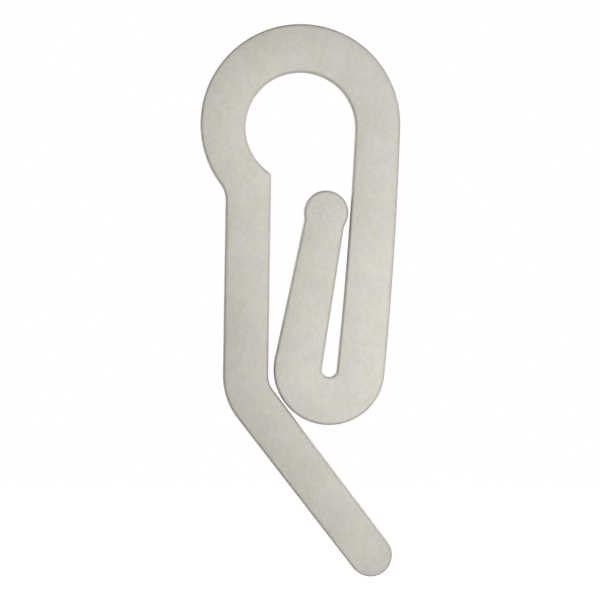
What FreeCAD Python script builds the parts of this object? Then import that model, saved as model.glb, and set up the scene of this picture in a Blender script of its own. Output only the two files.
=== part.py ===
import FreeCAD, Part
import math
import os
from collections import namedtuple

# A curtain hook, moulded in one piece from a strip of plastic that bends back on itself.
# Millimetres and degrees. The hook hangs upright: +Z is up, and seen from the front +X is to the right and +Y
# points away. The origin is the centre of the eye, half way through the thickness.

# The strip
strip_width = 2.5  # at the sides of the ring, in the leg and at the knee
thickness = 2.0  # from the front face to the back face
edge_radius = 0.2  # rounding of all front and back edges

# The ring, with the eye that hangs on a curtain ring or a glider
eye_diameter = 6.0
ring_rise = 0.18  # the ring's outer circle lies this much above the eye, so the ring is strongest at its top

# The clip: a stem down from the ring, a bend, and a tongue that comes back up beside the stem
bend_across = 1.58  # from the eye's centre to the right
bend_drop = 13.3  # from the eye's centre down
bend_outer_radius = 3.06
slot_end_radius = 0.4  # round end of the slot between the stem and the tongue
stem_bow_radius = 220.0  # the stem bows outwards a little
knob_diameter = 2.45  # round tip of the tongue
knob_drop = 4.68  # from the eye's centre down to the knob's centre
knob_gap = 0.1  # the knob stands this far off the stem
knob_overhang = 0.135  # the knob stands out past the tongue's neck by this much on each side
neck_radius = 0.9  # hollow where the tongue runs into the knob

# The leg, the knee and the tail that leads things into the eye
leg_lean = 0.9  # the leg's foot swings out to the left by this angle
leg_gap = 0.28  # between the leg and the bend
lip_radius = 0.3  # corner where the leg's inner edge runs into the eye
crotch_radius = 1.5  # corner where the leg's outer edge runs into the ring
knee_inner_radius = 1.35
tail_angle = 37.1  # from straight down to the right
mouth_gap = 0.08  # between the tail and the bend
tail_run = 10.43  # from the knee to the centre of the tail's round tip
tail_tip_diameter = 2.4

Round = namedtuple("Round", "centre radius")


def spot(x, z):
    """Point, or direction, in the plane of the outline."""
    return FreeCAD.Vector(x, 0, z)


def unit(vector):
    """Vector of length 1 in the same direction."""
    return FreeCAD.Vector(vector).normalize()


def turned(direction, degrees):
    """Direction turned anticlockwise, as seen from the front."""
    angle = math.radians(degrees)
    x = direction.x * math.cos(angle) - direction.z * math.sin(angle)
    z = direction.x * math.sin(angle) + direction.z * math.cos(angle)
    return spot(x, z)


def right_of(downward):
    """Unit normal to a limb's downward direction, on the right as seen from the front."""
    return turned(downward, 90)


def touch(circle, direction):
    """Point of a circle that lies in a direction from its centre."""
    return circle.centre + direction * circle.radius


def wrap(upper, lower, radius):
    """Large circle round two others, with its centre far to the left, that touches both from outside."""
    upper_reach = radius - upper.radius
    lower_reach = radius - lower.radius
    apart = lower.centre - upper.centre
    along = (upper_reach**2 - lower_reach**2 + apart.Length**2) / (2 * apart.Length)
    aside = math.sqrt(upper_reach**2 - along**2)
    downward = unit(apart)
    return Round(upper.centre + downward * along - right_of(downward) * aside, radius)


def tangent_normal(first, second, side):
    """Unit normal of the straight edge that touches two circles, on the left of the way from the first to the
    second for a side of 1 and on the right for -1. A circle with a negative radius lies beyond the edge."""
    apart = second.centre - first.centre
    angle = math.degrees(math.acos((first.radius - second.radius) / apart.Length))
    return turned(unit(apart), side * angle)


def blend(edge_point, normal, downward, circle, radius):
    """Small circle that touches a straight edge, on the side of its normal, and the outside of a circle above."""
    aside = normal.dot(edge_point - circle.centre) + radius
    along = math.sqrt((circle.radius + radius) ** 2 - aside**2)
    return Round(circle.centre + normal * aside + downward * along, radius)


def line(start, end):
    """Straight edge."""
    return Part.LineSegment(start, end).toShape()


def arc(circle, start, end, through):
    """Edge along a circle that passes the side in the direction through."""
    return Part.Arc(start, touch(circle, through), end).toShape()


def short_arc(circle, start, end):
    """Edge along a circle by the shorter way."""
    return arc(circle, start, end, unit(start + end - circle.centre * 2))


up = spot(0, 1)
down = spot(0, -1)

# Ring and stem
eye = Round(spot(0, 0), eye_diameter / 2)
ring = Round(spot(0, ring_rise), eye.radius + strip_width)
bend = Round(spot(bend_across, -bend_drop), bend_outer_radius)
slot_end = Round(bend.centre, slot_end_radius)
stem_inside = wrap(eye, slot_end, stem_bow_radius)
stem_outside = wrap(ring, bend, stem_bow_radius)
eye_to_stem = touch(eye, unit(eye.centre - stem_inside.centre))
stem_to_slot = touch(slot_end, unit(slot_end.centre - stem_inside.centre))
ring_to_stem = touch(ring, unit(ring.centre - stem_outside.centre))
stem_to_bend = touch(bend, unit(bend.centre - stem_outside.centre))

# Knob, which stands off the stem's inner edge by the knob's gap
knob_reach = stem_bow_radius - knob_gap - knob_diameter / 2
knob_height = -knob_drop - stem_inside.centre.z
knob_x = stem_inside.centre.x + math.sqrt(knob_reach**2 - knob_height**2)
knob = Round(spot(knob_x, -knob_drop), knob_diameter / 2)
neck = Round(knob.centre, knob.radius - knob_overhang)

# Tongue, with its outer edge on the left and its inner edge along the slot
slot_beyond = Round(slot_end.centre, -slot_end_radius)
outer_normal = tangent_normal(bend, neck, 1)
inner_normal = tangent_normal(slot_beyond, neck, -1)
bend_to_tongue = touch(bend, outer_normal)
slot_to_tongue = touch(slot_beyond, inner_normal)
outer_neck = blend(bend_to_tongue, outer_normal, turned(outer_normal, 90), knob, neck_radius)
inner_neck = blend(slot_to_tongue, inner_normal, turned(inner_normal, -90), knob, neck_radius)
tongue_to_outer_neck = touch(outer_neck, -outer_normal)
tongue_to_inner_neck = touch(inner_neck, -inner_normal)
outer_neck_to_knob = touch(knob, unit(outer_neck.centre - knob.centre))
inner_neck_to_knob = touch(knob, unit(inner_neck.centre - knob.centre))

# Knee, whose two arcs share one centre at set distances from the bend's leg side and mouth side
leg_down = turned(down, -leg_lean)
tail_down = turned(down, tail_angle)
leg_right = right_of(leg_down)
tail_right = right_of(tail_down)
leg_offset = knee_inner_radius - leg_gap - bend_outer_radius
tail_offset = knee_inner_radius - mouth_gap - bend_outer_radius
cosine = leg_right.dot(tail_right)
leg_share = (leg_offset - cosine * tail_offset) / (1 - cosine**2)
tail_share = (tail_offset - cosine * leg_offset) / (1 - cosine**2)
knee_centre = bend.centre + leg_right * leg_share + tail_right * tail_share
knee_inside = Round(knee_centre, knee_inner_radius)
knee_outside = Round(knee_centre, knee_inner_radius + strip_width)
leg_to_knee_inside = touch(knee_inside, -leg_right)
leg_to_knee_outside = touch(knee_outside, -leg_right)
knee_to_tail_inside = touch(knee_inside, -tail_right)

# Tail, which tapers from the knee to its round tip
tip_radius = tail_tip_diameter / 2
tip = Round(knee_to_tail_inside - tail_right * tip_radius + tail_down * tail_run, tip_radius)
tail_left = tangent_normal(knee_outside, tip, -1)
knee_to_tail_outside = touch(knee_outside, tail_left)
tail_inside_to_tip = touch(tip, tail_right)
tail_outside_to_tip = touch(tip, tail_left)

# Leg, with the lip where it opens into the eye and the crotch where it leaves the ring
lip = blend(leg_to_knee_inside, -leg_right, leg_down, eye, lip_radius)
crotch = blend(leg_to_knee_outside, -leg_right, leg_down, ring, crotch_radius)
lip_to_leg = touch(lip, leg_right)
lip_to_eye = touch(eye, unit(lip.centre - eye.centre))
crotch_to_leg = touch(crotch, leg_right)
crotch_to_ring = touch(ring, unit(crotch.centre - ring.centre))


def ring_and_clip_edges():
    """Outline from the lip round the eye, down the stem, round the tongue and back up to the crotch."""
    return [
        arc(eye, lip_to_eye, eye_to_stem, up),
        short_arc(stem_inside, eye_to_stem, stem_to_slot),
        arc(slot_end, stem_to_slot, slot_to_tongue, down),
        line(slot_to_tongue, tongue_to_inner_neck),
        short_arc(inner_neck, tongue_to_inner_neck, inner_neck_to_knob),
        arc(knob, inner_neck_to_knob, outer_neck_to_knob, up),
        short_arc(outer_neck, outer_neck_to_knob, tongue_to_outer_neck),
        line(tongue_to_outer_neck, bend_to_tongue),
        arc(bend, bend_to_tongue, stem_to_bend, down),
        short_arc(stem_outside, stem_to_bend, ring_to_stem),
        arc(ring, ring_to_stem, crotch_to_ring, up),
    ]


def leg_and_tail_edges():
    """Outline from the crotch down the leg's outer side, round the tail's tip and back up to the lip."""
    return [
        short_arc(crotch, crotch_to_ring, crotch_to_leg),
        line(crotch_to_leg, leg_to_knee_outside),
        short_arc(knee_outside, leg_to_knee_outside, knee_to_tail_outside),
        line(knee_to_tail_outside, tail_outside_to_tip),
        arc(tip, tail_outside_to_tip, tail_inside_to_tip, tail_down),
        line(tail_inside_to_tip, knee_to_tail_inside),
        short_arc(knee_inside, knee_to_tail_inside, leg_to_knee_inside),
        line(leg_to_knee_inside, lip_to_leg),
        short_arc(lip, lip_to_leg, lip_to_eye),
    ]


def make_hook():
    """Plate of the outline's shape with all its front and back edges rounded."""
    outline = Part.Wire(ring_and_clip_edges() + leg_and_tail_edges())
    outline.translate(FreeCAD.Vector(0, -thickness / 2, 0))
    plate = Part.Face(outline).extrude(FreeCAD.Vector(0, thickness, 0))
    rims = [edge for edge in plate.Edges if abs(edge.CenterOfMass.y) > thickness / 4]
    return plate.makeFillet(edge_radius, rims)


hook = make_hook()
box = hook.optimalBoundingBox()
print(f"hook {box.XLength:.2f} x {box.YLength:.2f} x {box.ZLength:.2f} mm, {hook.Volume:.1f} mm3")
os.makedirs("parts", exist_ok=True)
hook.exportStep("parts/hook.step")
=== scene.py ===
# %% [markdown]
# # A moulded curtain hook
# The real hook is one small piece of undyed plastic, about 30 mm tall. A round eye hangs on a glider or a
# ring, a slanting tail leads things into the eye, and a sprung clip holds the curtain's heading tape. This
# lesson dresses the measured solid for a studio picture. The solid comes in as the frame: it is never
# moved, and whatever is made here is worked out from it, in metres.

# %% Load the frame
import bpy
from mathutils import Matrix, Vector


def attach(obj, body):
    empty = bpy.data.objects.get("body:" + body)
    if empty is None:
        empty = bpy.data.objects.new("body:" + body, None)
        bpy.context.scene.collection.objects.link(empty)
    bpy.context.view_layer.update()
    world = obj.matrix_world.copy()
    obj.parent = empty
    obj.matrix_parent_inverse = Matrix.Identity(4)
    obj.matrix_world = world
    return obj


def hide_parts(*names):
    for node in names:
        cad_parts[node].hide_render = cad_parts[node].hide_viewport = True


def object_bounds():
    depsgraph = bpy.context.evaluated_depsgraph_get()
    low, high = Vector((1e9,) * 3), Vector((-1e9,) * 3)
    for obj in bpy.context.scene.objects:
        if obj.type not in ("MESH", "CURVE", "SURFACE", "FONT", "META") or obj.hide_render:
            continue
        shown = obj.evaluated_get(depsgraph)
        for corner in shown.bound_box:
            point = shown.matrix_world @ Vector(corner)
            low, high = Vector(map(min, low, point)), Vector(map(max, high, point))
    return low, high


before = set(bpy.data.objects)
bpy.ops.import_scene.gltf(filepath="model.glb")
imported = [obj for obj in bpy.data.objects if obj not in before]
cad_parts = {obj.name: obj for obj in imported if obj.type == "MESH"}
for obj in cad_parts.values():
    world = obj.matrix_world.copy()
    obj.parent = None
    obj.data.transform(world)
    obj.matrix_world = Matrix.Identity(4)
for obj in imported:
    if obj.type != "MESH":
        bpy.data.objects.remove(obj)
cad_low, cad_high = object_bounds()


def in_mm(length):
    """Length in millimetres, rounded for printing."""
    return round(length * 1000, 2)


print("the measured hook is", [in_mm(side) for side in cad_high - cad_low], "mm")

# %% [markdown]
# ## The hook's outline
# The measured solid has flat faces and dead straight walls. A moulded hook is softer: its faces belly out
# a little, its walls lean in so that it leaves the mould, and a hair-fine ridge runs round where the
# mould's halves met. Those forms are far smaller than the part, so they are added here, on a mesh that
# takes the solid's place. It could be sculpted over the solid by eye, but then it wouldn't fit. Instead
# its outline is read back from the frame: the mesh keeps every face of the solid as a patch of its own,
# and the patches that stay clear of the front and the back are the walls.

# %% Find the walls
import bmesh
import bpy
import numpy as np

cad_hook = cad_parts["hook"]
half_thickness = cad_high.y
same_depth = 1e-7


def patch_of(first):
    """All vertices that edges join to the first one. They belong to one face of the solid."""
    first.tag = True
    patch = [first]
    for vertex in patch:
        for edge in vertex.link_edges:
            other = edge.other_vert(vertex)
            if not other.tag:
                other.tag = True
                patch.append(other)
    return patch


def row_in_order(vertices):
    """Points (x, z) of one row of vertices, walked from end to end along its edges."""
    inside = set(vertices)
    neighbours = {}
    for vertex in vertices:
        others = [edge.other_vert(vertex) for edge in vertex.link_edges]
        neighbours[vertex] = [other for other in others if other in inside]
    walk = [next(vertex for vertex in vertices if len(neighbours[vertex]) == 1)]
    while len(walk) < len(vertices):
        walk.append(next(vertex for vertex in neighbours[walk[-1]] if vertex not in walk[-2:]))
    return [np.array((vertex.co.x, vertex.co.z)) for vertex in walk]


def wall_rows(mesh):
    """Front row of points of each wall, in order along the wall."""
    work = bmesh.new()
    work.from_mesh(mesh)
    rows = []
    for first in work.verts:
        if first.tag:
            continue
        patch = patch_of(first)
        depths = [vertex.co.y for vertex in patch]
        two_rows = all(abs(abs(depth) - max(depths)) < same_depth for depth in depths)
        if two_rows and min(depths) < 0 < max(depths):
            rows.append(row_in_order([vertex for vertex in patch if vertex.co.y < 0]))
    work.free()
    return rows


walls = wall_rows(cad_hook.data)
print(len(walls), "walls with", sum(len(row) for row in walls), "points along them")

# %% [markdown]
# ## Arcs and straight runs
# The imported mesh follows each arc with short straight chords. A closer look would show them, so each wall
# becomes an arc again: three of its points fix its circle, and after that it can be divided as finely as
# the picture needs. Laid end to end from the tail's tip, the walls go once round the hook.

# %% Walls as arcs, in order round the hook
touching = 1e-6


class Stretch:
    """One wall of the outline: a straight run, or an arc about a centre."""

    def __init__(self, row):
        self.start = row[0]
        self.end = row[-1]
        self.centre = None
        self.turn = 0.0
        self.length = np.linalg.norm(self.end - self.start)
        if len(row) > 2:
            self.find_circle(row[len(row) // 2])

    def find_circle(self, middle):
        """Centre, turn and length of the arc through the start, the middle and the end."""
        to_middle = middle - self.start
        to_end = self.end - self.start
        chords = np.array((to_middle, to_end))
        squares = (to_middle @ to_middle, to_end @ to_end)
        self.centre = self.start + np.linalg.solve(2 * chords, squares)
        angles = [np.arctan2(*(point - self.centre)[::-1]) for point in (self.start, middle, self.end)]
        first_leg, second_leg = np.remainder(np.diff(angles) + np.pi, 2 * np.pi) - np.pi
        self.turn = first_leg + second_leg
        self.length = abs(self.turn) * np.linalg.norm(self.start - self.centre)

    def point(self, share):
        """Point at a share of the way along."""
        if self.centre is None:
            return self.start + (self.end - self.start) * share
        x, z = self.start - self.centre
        cosine = np.cos(self.turn * share)
        sine = np.sin(self.turn * share)
        return self.centre + (x * cosine - z * sine, x * sine + z * cosine)

    def normal(self, share):
        """Unit normal there, on one side or the other."""
        if self.centre is not None:
            across = self.point(share) - self.centre
        else:
            across = np.array((self.start[1] - self.end[1], self.end[0] - self.start[0]))
        return across / np.linalg.norm(across)


def chain_from_tip(rows):
    """Stretches in order round the hook, from the wall that holds its lowest point."""
    rows = sorted(rows, key=lambda row: min(point[1] for point in row))
    chain = [rows.pop(0)]
    while rows:
        here = chain[-1][-1]
        for number, row in enumerate(rows):
            if np.linalg.norm(row[0] - here) < touching:
                break
            if np.linalg.norm(row[-1] - here) < touching:
                row.reverse()
                break
        chain.append(rows.pop(number))
    return [Stretch(row) for row in chain]


outline = chain_from_tip(walls)
print("the outline is", in_mm(sum(stretch.length for stretch in outline)), "mm long")

# %% [markdown]
# ## Across the strip
# Seen as its maker sees it, the hook is one strip that bends back on itself, with a round end at each tip.
# So the wall that is so many steps from the tail's tip on one side faces the wall that is as many steps
# away on the other side. Half way between the two lies the strip's spine. Rays from the outline in to the
# spine give a tidy mesh of four-sided faces that follow the strip, where filling the face with triangles
# would give a random one.

# %% Rays from the outline to the spine
import math
from collections import namedtuple

ray_spacing = 0.18e-3
most_turn = math.radians(7)
fewest_steps = 3
Ray = namedtuple("Ray", "point inward spine")
halfway = len(outline) // 2


def steps(*stretches):
    """How many parts these stretches are divided into."""
    by_length = max(stretch.length for stretch in stretches) / ray_spacing
    by_turn = max(abs(stretch.turn) for stretch in stretches) / most_turn
    return math.ceil(max(by_length, by_turn, fewest_steps))


def ray(stretch, share, spine_point, spine_number):
    """Ray from a point of the outline, whose normal is turned towards the spine."""
    point = stretch.point(share)
    inward = stretch.normal(share)
    if inward @ (spine_point - point) < 0:
        inward = -inward
    return Ray(point, inward, spine_number)


def make_rays():
    """Rays in order round the hook, and the points of the spine from the tail's tip to the knob."""
    spine, going_up, coming_down = [], [], []
    for step in range(1, halfway):
        near, far = outline[step], outline[-step]
        count = steps(near, far)
        last = step == halfway - 1
        for number in range(count + last):
            share = number / count
            middle = (near.point(share) + far.point(1 - share)) / 2
            going_up.append(ray(near, share, middle, len(spine)))
            coming_down.append(ray(far, 1 - share, middle, len(spine)))
            spine.append(middle)

    def round_end(stretch, number):
        count = steps(stretch)
        return [ray(stretch, part / count, spine[number], number) for part in range(1, count)]

    tip = round_end(outline[0], 0)
    knob = round_end(outline[halfway], len(spine) - 1)
    return tip + going_up + knob + coming_down[::-1], spine


rays, spine = make_rays()
half_width = np.median([np.linalg.norm(spine[r.spine] - r.point) for r in rays])
print(len(rays), "rays,", len(spine), "spine points, strip half-width", in_mm(half_width), "mm")

# %% [markdown]
# ## The section of the strip
# One section serves all rays: from the ridge at the middle of the wall, up the leaning wall, round the
# edge and in over the gently bellied face to the spine. A bevel modifier could round the edge, but it
# wouldn't lean the walls or belly the faces. Every point lies inside the measured solid: the ridge all but
# reaches its walls, and the spine reaches its faces.

# %% Points of the section
ridge_inset = 0.005e-3
ridge_height = 0.02e-3
ridge_half_width = 0.035e-3
wall_lean = math.radians(1)
edge_radius = 0.18e-3
belly = 0.08e-3
edge_steps = 8
face_steps = 6


def edge_points():
    """Inset and height of the section's points from the ridge to where the face begins."""
    face_slope = math.atan(2 * belly / (half_width - edge_radius))
    end_angle = math.pi / 2 - face_slope
    centre_height = half_thickness - belly - edge_radius * math.sin(end_angle)
    wall_top = centre_height + edge_radius * math.sin(wall_lean)
    ridge_foot = ridge_inset + ridge_height
    wall_inset = ridge_foot + (wall_top - ridge_half_width) * math.tan(wall_lean)
    centre_inset = wall_inset + edge_radius * math.cos(wall_lean)
    points = [(ridge_inset, 0.0), (ridge_foot, ridge_half_width)]
    for number in range(edge_steps + 1):
        angle = wall_lean + (end_angle - wall_lean) * number / edge_steps
        inset = centre_inset - edge_radius * math.cos(angle)
        points.append((inset, centre_height + edge_radius * math.sin(angle)))
    return points


section = edge_points()
print("the face begins", in_mm(section[-1][0]), "mm in from the wall")

# %% [markdown]
# ## The mesh
# The section is now set along every ray, on the front and on the back, and each one is joined to the next
# with four-sided faces. The two halves share the crest of the ridge, so the mesh is closed, as a real piece
# of plastic is. Extruding the outline would be quicker, but its faces would be flat. The mesh also carries
# two values for the plastic at each point: how far along the strip it lies, and how near an edge, which sets
# where shade is painted on the rounded edges.

# %% Points along one ray
front = -1  # side of the middle plane, as the sign of y
back = 1


def section_points(one_ray, face):
    """Points along one ray from beside the ridge to just short of the spine, on the front or the back."""
    made = []
    for inset, height in section[1:]:
        x, z = one_ray.point + one_ray.inward * inset
        made.append((x, face * height, z))
    inset, low = section[-1]
    start = one_ray.point + one_ray.inward * inset
    for number in range(1, face_steps):
        share = number / face_steps
        x, z = start + (spine[one_ray.spine] - start) * share
        made.append((x, face * (half_thickness - (half_thickness - low) * (1 - share) ** 2), z))
    return made


def edge_shade_weights():
    """For the points along one ray, 1 where the rounded edge leaves the wall, falling to 0 on the face: the
    weight of the shade painted on the edges.
    """
    rounding = [1 - (number / edge_steps) ** 2 for number in range(edge_steps + 1)]
    return [0.0] + rounding + [0.0] * (face_steps - 1)


def spine_lengths():
    """Distance of each point of the spine from the tail's tip, along the strip."""
    runs = np.linalg.norm(np.diff(spine, axis=0), axis=1)
    return np.concatenate(([0.0], np.cumsum(runs)))


print(len(edge_shade_weights()), "points along each ray, and a spine of", in_mm(spine_lengths()[-1]), "mm")

# %% Build the hook's mesh
crisp_from = math.radians(20)


def build_hook():
    """Mesh of the ridge, and on each side of it the walls, edges and faces up to the spine."""
    crest = [r.point + r.inward * ridge_inset for r in rays]
    points = [(x, 0.0, z) for x, z in crest]
    on_spine = [r.spine for r in rays]
    edge_shade_share = [0.0] * len(rays)
    faces = []
    for face in (front, back):
        spine_start = len(points)
        points += [(x, face * half_thickness, z) for x, z in spine]
        on_spine += range(len(spine))
        edge_shade_share += [0.0] * len(spine)
        columns = []
        for number, one_ray in enumerate(rays):
            made = section_points(one_ray, face)
            between = range(len(points), len(points) + len(made))
            columns.append([number, *between, spine_start + one_ray.spine])
            points += made
            on_spine += [one_ray.spine] * len(made)
            edge_shade_share += edge_shade_weights()
        for here, there in zip(columns, columns[1:] + columns[:1]):
            for k in range(len(here) - 1):
                corners = [here[k], here[k + 1], there[k + 1], there[k]]
                faces.append(list(dict.fromkeys(corners)))
    mesh = bpy.data.meshes.new("moulded_hook")
    mesh.from_pydata(points, [], faces)
    # the edge value weights the shade painted on the rounded edges
    for name, values in (("along_strip", spine_lengths()[on_spine]), ("edge_shade_share", edge_shade_share)):
        mesh.attributes.new(name, "FLOAT", "POINT").data.foreach_set("value", values)
    return mesh


def finish_mesh(mesh):
    """Turns all faces outwards and shades them smooth, but for the crisp ridge."""
    work = bmesh.new()
    work.from_mesh(mesh)
    bmesh.ops.recalc_face_normals(work, faces=work.faces)
    volume = work.calc_volume()
    open_edges = sum(not edge.is_manifold for edge in work.edges)
    work.to_mesh(mesh)
    work.free()
    mesh.shade_smooth()
    mesh.set_sharp_from_angle(angle=crisp_from)
    print(len(mesh.polygons), "faces,", open_edges, "open edges,", round(volume * 1e9, 1), "cubic mm")


hook_mesh = build_hook()
finish_mesh(hook_mesh)

# %% Put the hook in the solid's place
hook = bpy.data.objects.new("moulded_hook", hook_mesh)
bpy.context.scene.collection.objects.link(hook)
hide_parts("hook")
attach(hook, "root")
print(hook.name, "now stands for the measured hook")

# %% [markdown]
# ## Undyed plastic
# Undyed nylon is a warm, milky grey. Light goes a little way into it before it comes back, so its shadows
# are soft. The mould leaves a dull satin skin with a very fine grain. The melt cools to faint clouds, turns
# duller and clearer by turns as it flows along the strip, and yellows unevenly. A single colour with a
# gloss value would look like a drawing of plastic. Here each of these moves the tint by a few percent, and
# the grain also moves the roughness and lifts the skin. The rounded edges get painted shade: a darker tint
# that stands in for the shading that falls on them.

# %% Tint of the plastic
flow_period = 28.5e-3
first_dull_stretch = 12.0e-3


def add_node(tree, kind, **values):
    """New node, with its named inputs set."""
    node = tree.nodes.new(kind)
    for name, value in values.items():
        node.inputs[name.replace("_", " ")].default_value = value
    return node


def noise(tree, place, per_metre, detail, roughness):
    """Noise from 0 to 1 that is fixed to the hook."""
    texture = add_node(tree, "ShaderNodeTexNoise", Scale=per_metre, Detail=detail, Roughness=roughness)
    tree.links.new(place.outputs["Object"], texture.inputs["Vector"])
    return texture.outputs["Fac"]


def mesh_value(tree, name):
    """Value that the mesh carries at its points."""
    carried = tree.nodes.new("ShaderNodeAttribute")
    carried.attribute_name = name
    return carried.outputs["Fac"]


def flow_wave(tree):
    """Slow wave along the strip, from 0 where the plastic is clear to 1 where it is dull."""
    angle = tree.nodes.new("ShaderNodeMath")
    angle.operation = "MULTIPLY_ADD"
    angle.inputs[1].default_value = 2 * math.pi / flow_period
    angle.inputs[2].default_value = -2 * math.pi * first_dull_stretch / flow_period
    wave = tree.nodes.new("ShaderNodeMath")
    wave.operation = "COSINE"
    share = add_node(tree, "ShaderNodeMapRange", From_Min=-1.0, From_Max=1.0)
    tree.links.new(mesh_value(tree, "along_strip"), angle.inputs[0])
    tree.links.new(angle.outputs["Value"], wave.inputs[0])
    tree.links.new(wave.outputs["Value"], share.inputs["Value"])
    return share.outputs["Result"]


def tinted(tree, plain, effects):
    """Plain colour, multiplied by the colour of each effect in turn where that effect is strong."""
    tint = None
    for strength, colour in effects:
        mix = tree.nodes.new("ShaderNodeMix")
        mix.data_type = "RGBA"
        mix.blend_type = "MULTIPLY"
        mix.inputs["A"].default_value = (*plain, 1)
        mix.inputs["B"].default_value = (*colour, 1)
        tree.links.new(strength, mix.inputs["Factor"])
        if tint:
            tree.links.new(tint, mix.inputs["A"])
        tint = mix.outputs["Result"]
    return tint


print("dull stretches lie", in_mm(flow_period), "mm apart along the strip")

# %% The plastic
plain_colour = (0.779, 0.755, 0.744)
yellowed = (1.0, 0.993, 0.81)
cloudy = (0.80, 0.80, 0.80)
dull = (0.90, 0.90, 0.90)
grainy = (0.76, 0.76, 0.76)
# painted shade: darkens the rounded edges, standing in for the shading that falls on them
painted_edge_shade = (0.84, 0.84, 0.84)
clouds_per_metre = 700.0
yellow_patches_per_metre = 800.0
grains_per_metre = 5500.0
grain_low = 0.3
grain_high = 0.7
roughness_low = 0.52
roughness_high = 0.64
grain_strength = 0.6
grain_height = 0.025e-3


def natural_plastic():
    """Material of the undyed plastic."""
    material = bpy.data.materials.new("natural_plastic_moulded")
    material.use_nodes = True
    tree = material.node_tree
    join = tree.links.new
    skin = tree.nodes["Principled BSDF"]
    place = tree.nodes.new("ShaderNodeTexCoord")
    clouds = noise(tree, place, clouds_per_metre, detail=5.0, roughness=0.65)
    yellowing = noise(tree, place, yellow_patches_per_metre, detail=2.0, roughness=0.5)
    grain = noise(tree, place, grains_per_metre, detail=3.0, roughness=0.65)
    effects = [
        (clouds, cloudy),
        (yellowing, yellowed),
        (flow_wave(tree), dull),
        (grain, grainy),
        # painted shade on the rounded edges
        (mesh_value(tree, "edge_shade_share"), painted_edge_shade),
    ]
    join(tinted(tree, plain_colour, effects), skin.inputs["Base Color"])
    gloss = add_node(tree, "ShaderNodeMapRange", From_Min=grain_low, From_Max=grain_high)
    gloss.inputs["To Min"].default_value = roughness_low
    gloss.inputs["To Max"].default_value = roughness_high
    join(grain, gloss.inputs["Value"])
    join(gloss.outputs["Result"], skin.inputs["Roughness"])
    relief = add_node(tree, "ShaderNodeBump", Strength=grain_strength, Distance=grain_height)
    join(grain, relief.inputs["Height"])
    join(relief.outputs["Normal"], skin.inputs["Normal"])
    skin.inputs["IOR"].default_value = 1.53
    skin.inputs["Specular IOR Level"].default_value = 0.25
    skin.inputs["Subsurface Weight"].default_value = 0.25
    skin.inputs["Subsurface Radius"].default_value = (1.0, 0.9, 0.7)
    skin.inputs["Subsurface Scale"].default_value = 0.4e-3
    return material


hook.data.materials.append(natural_plastic())
print("plastic nodes:", len(hook.data.materials[0].node_tree.nodes))

# %% [markdown]
# ## White ground
# The picture has a plain white ground. Bright lamps on a backdrop would spill on the hook, so the world
# looks white only to rays that come from the camera, or that get there by reflection or through glass, and
# it lights the hook at a lower level.

# %% World
world_level = 0.06


def seen_directly(tree):
    """Light path value of 1 for what the camera sees, also in a mirror or through glass, and 0 otherwise."""
    path = tree.nodes.new("ShaderNodeLightPath")
    seen = path.outputs["Is Camera Ray"]
    for other_way in ("Is Glossy Ray", "Is Transmission Ray"):
        either = tree.nodes.new("ShaderNodeMath")
        either.operation = "MAXIMUM"
        tree.links.new(seen, either.inputs[0])
        tree.links.new(path.outputs[other_way], either.inputs[1])
        seen = either.outputs["Value"]
    return seen


def white_world():
    """World that looks white and lights the hook at the world's level."""
    world = bpy.data.worlds.new("white_ground")
    world.use_nodes = True
    tree = world.node_tree
    sky = tree.nodes["Background"]
    sky.inputs["Color"].default_value = (1, 1, 1, 1)
    level = add_node(tree, "ShaderNodeMapRange", To_Min=world_level, To_Max=1.0)
    tree.links.new(seen_directly(tree), level.inputs["Value"])
    tree.links.new(level.outputs["Result"], sky.inputs["Strength"])
    return world


bpy.context.scene.world = white_world()
print("the world lights the hook at", world_level)

# %% [markdown]
# ## Floor
# The hook hangs by its eye, so the floor lies a little below the tail. Its real shading keeps the hook's
# shadow. What the lamps leave short of white is made up by a glow that only the camera sees, and that
# reaches full white further out, where the floor runs into the ground.

# %% Floor
floor_drop = 15e-3
floor_reach = 0.5
floor_height = cad_low.z - floor_drop
paper_colour = (0.8, 0.8, 0.8)
glow_near = 0.75
fade_from = 0.04
fade_to = 0.11


def white_floor():
    """Material of white paper, with a glow that grows away from the hook."""
    material = bpy.data.materials.new("white_floor")
    material.use_nodes = True
    tree = material.node_tree
    join = tree.links.new
    tree.nodes.remove(tree.nodes["Principled BSDF"])
    paper = add_node(tree, "ShaderNodeBsdfDiffuse", Color=(*paper_colour, 1))
    glow = add_node(tree, "ShaderNodeEmission", Color=(1, 1, 1, 1))
    both = tree.nodes.new("ShaderNodeAddShader")
    place = tree.nodes.new("ShaderNodeNewGeometry")
    away = tree.nodes.new("ShaderNodeVectorMath")
    away.operation = "DISTANCE"
    away.inputs[1].default_value = (0, 0, floor_height)
    fade = add_node(tree, "ShaderNodeMapRange", From_Min=fade_from, From_Max=fade_to)
    fade.inputs["To Min"].default_value = glow_near
    fade.inputs["To Max"].default_value = 1.0
    strength = tree.nodes.new("ShaderNodeMath")
    strength.operation = "MULTIPLY"
    join(place.outputs["Position"], away.inputs[0])
    join(away.outputs["Value"], fade.inputs["Value"])
    join(fade.outputs["Result"], strength.inputs[0])
    join(seen_directly(tree), strength.inputs[1])
    join(strength.outputs["Value"], glow.inputs["Strength"])
    join(paper.outputs["BSDF"], both.inputs[0])
    join(glow.outputs["Emission"], both.inputs[1])
    join(both.outputs["Shader"], tree.nodes["Material Output"].inputs["Surface"])
    return material


corners = [(-1, -1), (1, -1), (1, 1), (-1, 1)]
floor_points = [(x * floor_reach, y * floor_reach, floor_height) for x, y in corners]
floor_mesh = bpy.data.meshes.new("floor")
floor_mesh.from_pydata(floor_points, [], [(0, 1, 2, 3)])
floor_mesh.materials.append(white_floor())
floor = bpy.data.objects.new("floor", floor_mesh)
bpy.context.scene.collection.objects.link(floor)
print("the floor is at", in_mm(floor_height), "mm")

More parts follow.
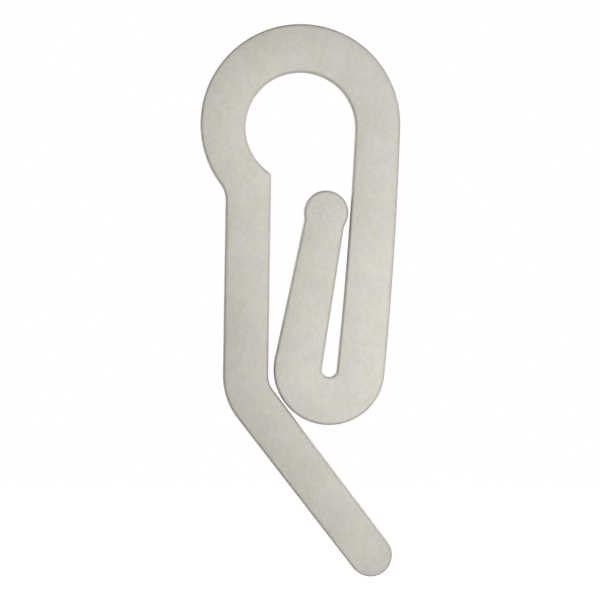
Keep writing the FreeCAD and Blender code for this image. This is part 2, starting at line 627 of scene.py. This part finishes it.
# %% [markdown]
# ## Light
# In the picture the edges that face right are light, and those that face up or left are dark lines, so the
# light comes mostly from the right. The clip is the brightest part, so that lamp stands close to it. Each
# lamp is a soft panel, as in a small light tent. Two weak ones far off fill in from the front and the left,
# and two behind the hook light the views from the back. A panel at a level of 1 shows a matte surface that
# faces it in just the colour that it was given.

# %% Lamps
from mathutils import Vector

hook_middle = (cad_low + cad_high) / 2


def panel(name, place, size, level):
    """Square soft lamp that faces the middle of the hook."""
    towards_hook = hook_middle - Vector(place)
    lamp = bpy.data.lights.new(name, "AREA")
    lamp.shape = "SQUARE"
    lamp.size = size
    lamp.energy = level * (math.pi * towards_hook.length) ** 2
    holder = bpy.data.objects.new(name, lamp)
    holder.location = place
    holder.rotation_mode = "QUATERNION"
    holder.rotation_quaternion = towards_hook.to_track_quat("-Z", "Y")
    holder.visible_camera = False
    bpy.context.scene.collection.objects.link(holder)
    print(name, "stands", in_mm(towards_hook.length), "mm from the hook")


panel("key_panel", place=(0.0145, -0.037, -0.005), size=0.02, level=0.80)
panel("front_panel", place=(0.0, -0.25, 0.0), size=0.15, level=0.13)
panel("left_panel", place=(-0.186, -0.143, 0.077), size=0.15, level=0.08)
panel("back_right_panel", place=(0.12, 0.20, 0.05), size=0.12, level=0.45)
panel("back_left_panel", place=(-0.12, 0.20, 0.05), size=0.12, level=0.45)

# %% [markdown]
# ## Camera
# The picture is taken almost straight on, from far enough away that the hook's walls hardly show. The fine
# dark line at the eye's upper right is the wall inside it, so the camera stands a hair to the left. Where
# the eye's centre lies in the photograph, and how many metres a pixel covers, fix the camera's place and
# its lens.

# %% Camera
photo_side = 600
eye_in_photo = (300.38, 127.53)
metres_per_pixel = 0.054974e-3
camera_distance = 0.25
view_from_left = math.radians(0.7)
sensor = 36.0

picture_width = photo_side * metres_per_pixel
lens_data = bpy.data.cameras.new("camera")
lens_data.sensor_width = sensor
lens_data.lens = sensor * camera_distance / picture_width
camera = bpy.data.objects.new("camera", lens_data)
aim_x = (photo_side / 2 - eye_in_photo[0]) * metres_per_pixel
aim_z = (eye_in_photo[1] - photo_side / 2) * metres_per_pixel
step_left = camera_distance * math.sin(view_from_left)
camera.location = (aim_x - step_left, -camera_distance * math.cos(view_from_left), aim_z)
camera.rotation_euler = (math.pi / 2, 0, -view_from_left)
bpy.context.scene.collection.objects.link(camera)
bpy.context.scene.camera = camera
bpy.context.scene.view_settings.view_transform = "Standard"
print("lens", round(lens_data.lens), "mm, picture", in_mm(picture_width), "mm wide")
